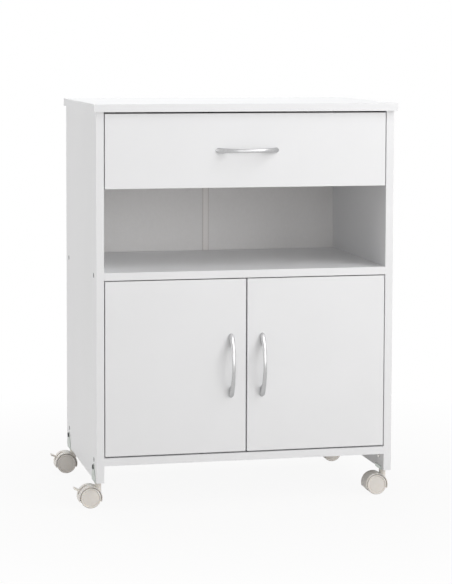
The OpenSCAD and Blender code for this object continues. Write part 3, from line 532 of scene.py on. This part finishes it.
def join_solids(whole, part):
    """Unites two closed meshes into the first one."""
    union = whole.modifiers.new("union", "BOOLEAN")
    union.operation = "UNION"
    union.solver = "EXACT"
    union.object = part
    apply_modifiers(whole)
    bpy.data.objects.remove(part)


def bow_handle(name):
    """The strap and both feet as one mesh, with its length along X and its back on the plane Y = 0."""
    shell = bmesh.new()
    skin_rings(shell, [[Vector((p.x, -p.y, p.z)) for p in ring] for ring in strap_rings()])
    handle = finished_mesh(shell, name)
    for side in (-1, 1):
        shell = bmesh.new()
        skin_rings(shell, [[Vector((p.x, -p.y, p.z)) for p in ring] for ring in foot_rings(side)])
        join_solids(handle, finished_mesh(shell, name + "_foot"))
    shell = bmesh.new()
    shell.from_mesh(handle.data)
    cut = bmesh.ops.bisect_plane(shell, geom=shell.verts[:] + shell.edges[:] + shell.faces[:],
                                 plane_co=(0, 0, 0), plane_no=(0, 1, 0), clear_outer=True, dist=1e-7)
    rim = [edge for edge in cut["geom_cut"] if isinstance(edge, bmesh.types.BMEdge)]
    bmesh.ops.contextual_create(shell, geom=rim)
    bmesh.ops.recalc_face_normals(shell, faces=shell.faces)
    shell.to_mesh(handle.data)
    shell.free()
    return handle


print("handle recipe ready")

# %% Place the three handles
HANDLE_EDGE_RADIUS = 0.0006


def place_handle(node, body, upright):
    """Puts a handle where its solid is, and lets it ride with the door or drawer."""
    low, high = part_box(node)
    handle = bow_handle(node + "_bow")
    turn = Matrix.Rotation(math.pi / 2, 4, "Y") if upright else Matrix.Identity(4)
    back = Vector(((low.x + high.x) / 2, high.y, (low.z + high.z) / 2))
    handle.data.transform(Matrix.Translation(back) @ turn)
    handle.data.materials.append(satin_chrome)
    soften(handle, HANDLE_EDGE_RADIUS)
    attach(handle, body)
    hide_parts(node)
    print(node, "has", len(handle.data.vertices), "corners")


place_handle("drawer_handle", "drawer", upright=False)
place_handle("left_door_handle", "left_door", upright=True)
place_handle("right_door_handle", "right_door", upright=True)

# %% [markdown]
# ## The castor wheels
# A furniture castor has two nylon wheels on one steel axle, on either side of a web. The face of each is a
# shallow dome inside a raised bead, with a fine groove between them, and the tread is a little rounded so that
# it rolls without marking. All of it is turned about the axle, so the lathe makes it from one outline. The
# outline is written from the outside in. Each of its points is a distance from the axle and one from the
# wheel's inner face, and the round stretches between them are quarters of a superellipse.

# %% Wheel outline
WHEEL_RADIUS = 0.020
WHEEL_WIDTH = 0.0115
DOME_RADIUS = 0.0152
DOME_EDGE = 0.0104
DOME_RISE = 0.0007
DOME_STEPS = 10
GROOVE = [(0.0154, 0.0099), (0.0159, 0.0098)]
BEAD_FOOT = (0.0163, 0.0102)
BEAD_CREST = (0.0177, WHEEL_WIDTH)
TREAD_OUTER = (WHEEL_RADIUS, 0.0078)
TREAD_INNER = (WHEEL_RADIUS, 0.0038)
INNER_FACE = (0.0176, 0.0)
AXLE_RADIUS = 0.003
AXLE_HOLE_DEPTH = 0.008
# How square each corner is: 2 is round, less is flatter and more is squarer
BEAD_POWER = 1.75
OUTER_POWER = 2.4
INNER_POWER = 2.75


def round_corner(start, end, along_first, power, steps):
    """Points of a rounded corner, without its first one, which it leaves along the axle or across it."""
    points = []
    for i in range(1, steps + 1):
        turn = math.pi / 2 * i / steps
        soon, late = rounded(math.sin(turn), power), 1 - rounded(math.cos(turn), power)
        out, along = (late, soon) if along_first else (soon, late)
        points.append((start[0] + (end[0] - start[0]) * out, start[1] + (end[1] - start[1]) * along))
    return points


def wheel_outline():
    """The wheel's half section, from the middle of its face round to the end of the axle hole."""
    shares = [i / DOME_STEPS for i in range(DOME_STEPS + 1)]
    dome = [(DOME_RADIUS * share, DOME_EDGE + DOME_RISE * (1 - share ** 2)) for share in shares]
    bead = round_corner(BEAD_FOOT, BEAD_CREST, along_first=True, power=BEAD_POWER, steps=3)
    outer = round_corner(BEAD_CREST, TREAD_OUTER, along_first=False, power=OUTER_POWER, steps=5)
    inner = round_corner(TREAD_INNER, INNER_FACE, along_first=True, power=INNER_POWER, steps=5)
    bore = [(AXLE_RADIUS, 0.0), (AXLE_RADIUS, AXLE_HOLE_DEPTH), (0, AXLE_HOLE_DEPTH)]
    return dome + GROOVE + [BEAD_FOOT] + bead + outer + [TREAD_INNER] + inner + bore


print("wheel outline of", len(wheel_outline()), "points")

# %% Wheels on their castors
AXLE_GAP = 0.0001
AXLE_CHAMFER = 0.0004


def castor_wheels(castor):
    """Both wheels of a castor and their axle, as one piece that turns with them."""
    node = castor + "_castor_wheels"
    low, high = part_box(node)
    centre = (low + high) / 2
    inner_face = (high.y - low.y) / 2 - WHEEL_WIDTH
    shell = bmesh.new()
    for side in (-1, 1):
        turn_outline(shell, wheel_outline(), centre + Vector((0, side * inner_face, 0)), flip=side)
    axle_end = inner_face + AXLE_HOLE_DEPTH - AXLE_GAP
    radius = AXLE_RADIUS - AXLE_GAP
    one_end = [(0, -axle_end), (radius - AXLE_CHAMFER, -axle_end), (radius, AXLE_CHAMFER - axle_end)]
    other_end = [(out, -along) for out, along in reversed(one_end)]
    turn_outline(shell, one_end + other_end, centre, steps=32)
    wheels = finished_mesh(shell, castor + "_wheels")
    wheels.data.materials.append(castor_nylon)
    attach(wheels, castor + "_wheels")
    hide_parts(node)


CASTORS = ["front_left", "rear_left", "front_right", "rear_right"]
for castor in CASTORS:
    castor_wheels(castor)
print("turned", 2 * len(CASTORS), "wheels")

# %% [markdown]
# ## Floor and world
# A catalogue picture stands on a pale sweep that fades to white. To the light that bounces about, the floor is
# a pale warm matt that throws some back up under the cabinet: the photograph's shaded parts are a little warm,
# as over a pale wooden floor. The camera and the reflections in metal see it mostly as pure white, with a
# share of the lit floor mixed in near the cabinet, so a soft shadow stays under it. The share fades with
# distance, measured in object space, which leaves no horizon line. The world does the same: a plain soft light
# on the object, and white to the camera and in reflections. The Light Path node tells which kind of ray is
# asking.

# %% Rays that see the background
def sees_background(tree):
    """1 for rays from the camera, off a glossy surface or through a clear one, and 0 for all others."""
    path = tree.nodes.new("ShaderNodeLightPath")
    kinds = [path.outputs[kind] for kind in ("Is Camera Ray", "Is Glossy Ray", "Is Transmission Ray")]
    seen = kinds[0]
    for kind in kinds[1:]:
        either = tree.nodes.new("ShaderNodeMath")
        either.operation = "MAXIMUM"
        tree.links.new(seen, either.inputs[0])
        tree.links.new(kind, either.inputs[1])
        seen = either.outputs["Value"]
    return seen


print("background helper ready")

# %% Floor
FLOOR_SIZE = 16

floor_mesh = bmesh.new()
bmesh.ops.create_grid(floor_mesh, x_segments=8, y_segments=8, size=FLOOR_SIZE / 2)
floor_data = bpy.data.meshes.new("floor")
floor_mesh.to_mesh(floor_data)
floor_mesh.free()
floor = bpy.data.objects.new("floor", floor_data)
bpy.context.scene.collection.objects.link(floor)
print("floor", FLOOR_SIZE, "m wide")

# %% Pale sweep
FLOOR_COLOUR = (0.61, 0.59, 0.57)
FLOOR_SHADOW_SHARE = 0.08
SHADOW_FADES_FROM = 0.35
SHADOW_ENDS_AT = 1.1

sweep = bpy.data.materials.new("pale_sweep")
sweep.use_nodes = True
tree = sweep.node_tree
tree.nodes.clear()
place = tree.nodes.new("ShaderNodeTexCoord")
distance = tree.nodes.new("ShaderNodeVectorMath")
distance.operation = "LENGTH"
tree.links.new(place.outputs["Object"], distance.inputs[0])
whiteness = spread(tree, distance.outputs["Value"], low=1 - FLOOR_SHADOW_SHARE, high=1,
                   from_low=SHADOW_FADES_FROM, from_high=SHADOW_ENDS_AT)
share = tree.nodes.new("ShaderNodeMath")
share.operation = "MULTIPLY"
matt = tree.nodes.new("ShaderNodeBsdfDiffuse")
matt.inputs["Color"].default_value = (*FLOOR_COLOUR, 1)
white = tree.nodes.new("ShaderNodeEmission")
white.inputs["Color"].default_value = (1, 1, 1, 1)
mix = tree.nodes.new("ShaderNodeMixShader")
out = tree.nodes.new("ShaderNodeOutputMaterial")
tree.links.new(sees_background(tree), share.inputs[0])
tree.links.new(whiteness, share.inputs[1])
tree.links.new(share.outputs["Value"], mix.inputs["Fac"])
tree.links.new(matt.outputs["BSDF"], mix.inputs[1])
tree.links.new(white.outputs["Emission"], mix.inputs[2])
tree.links.new(mix.outputs["Shader"], out.inputs["Surface"])
floor.data.materials.append(sweep)
print("made", sweep.name)

# %% World
SKY_LEVEL = 0.3

world = bpy.data.worlds.new("studio")
bpy.context.scene.world = world
world.use_nodes = True
tree = world.node_tree
tree.nodes.clear()
soft_sky = tree.nodes.new("ShaderNodeBackground")
soft_sky.inputs["Color"].default_value = (1, 1, 1, 1)
soft_sky.inputs["Strength"].default_value = SKY_LEVEL
white_sky = tree.nodes.new("ShaderNodeBackground")
white_sky.inputs["Color"].default_value = (1, 1, 1, 1)
white_sky.inputs["Strength"].default_value = 1.0
mix = tree.nodes.new("ShaderNodeMixShader")
out = tree.nodes.new("ShaderNodeOutputWorld")
tree.links.new(sees_background(tree), mix.inputs["Fac"])
tree.links.new(soft_sky.outputs["Background"], mix.inputs[1])
tree.links.new(white_sky.outputs["Background"], mix.inputs[2])
tree.links.new(mix.outputs["Shader"], out.inputs["Surface"])
print("sky level", SKY_LEVEL)

# %% [markdown]
# ## Lamps
# In the photograph each handle's shadow falls to the left, about as far as the handle stands out, and only a
# little down. So the key lamp stands low and half way round to the right. A second lamp on that side, high up,
# makes the top edges of things bright, and a wide one straight in front reaches to the back of the niche. One
# overhead and behind makes the top the brightest face, and one on the left keeps the cabinet's side pale. All
# are large soft boxes of plain white light, so the finishes keep their own colours.

# %% Soft boxes
def soft_box(name, place, aim, size, watts):
    """A square area lamp that faces a point."""
    data = bpy.data.lights.new(name, "AREA")
    data.size = size
    data.energy = watts
    lamp = bpy.data.objects.new(name, data)
    bpy.context.scene.collection.objects.link(lamp)
    lamp.location = place
    lamp.rotation_euler = (Vector(aim) - Vector(place)).to_track_quat("-Z", "Y").to_euler()


soft_box("key", place=(1.9, -2.85, 1.15), aim=(0, -0.1, 0.55), size=1.9, watts=27)
soft_box("high_right", place=(1.3, -1.5, 2.3), aim=(0, -0.1, 0.65), size=1.6, watts=24)
soft_box("front_fill", place=(-0.2, -3.4, 0.8), aim=(0, 0, 0.55), size=2.0, watts=20)
soft_box("overhead", place=(0, 1.4, 2.4), aim=(0, 0, 0.6), size=1.4, watts=21)
soft_box("left_fill", place=(-3.0, 0.2, 1.0), aim=(0, 0, 0.4), size=1.6, watts=26)
print("five soft boxes placed")
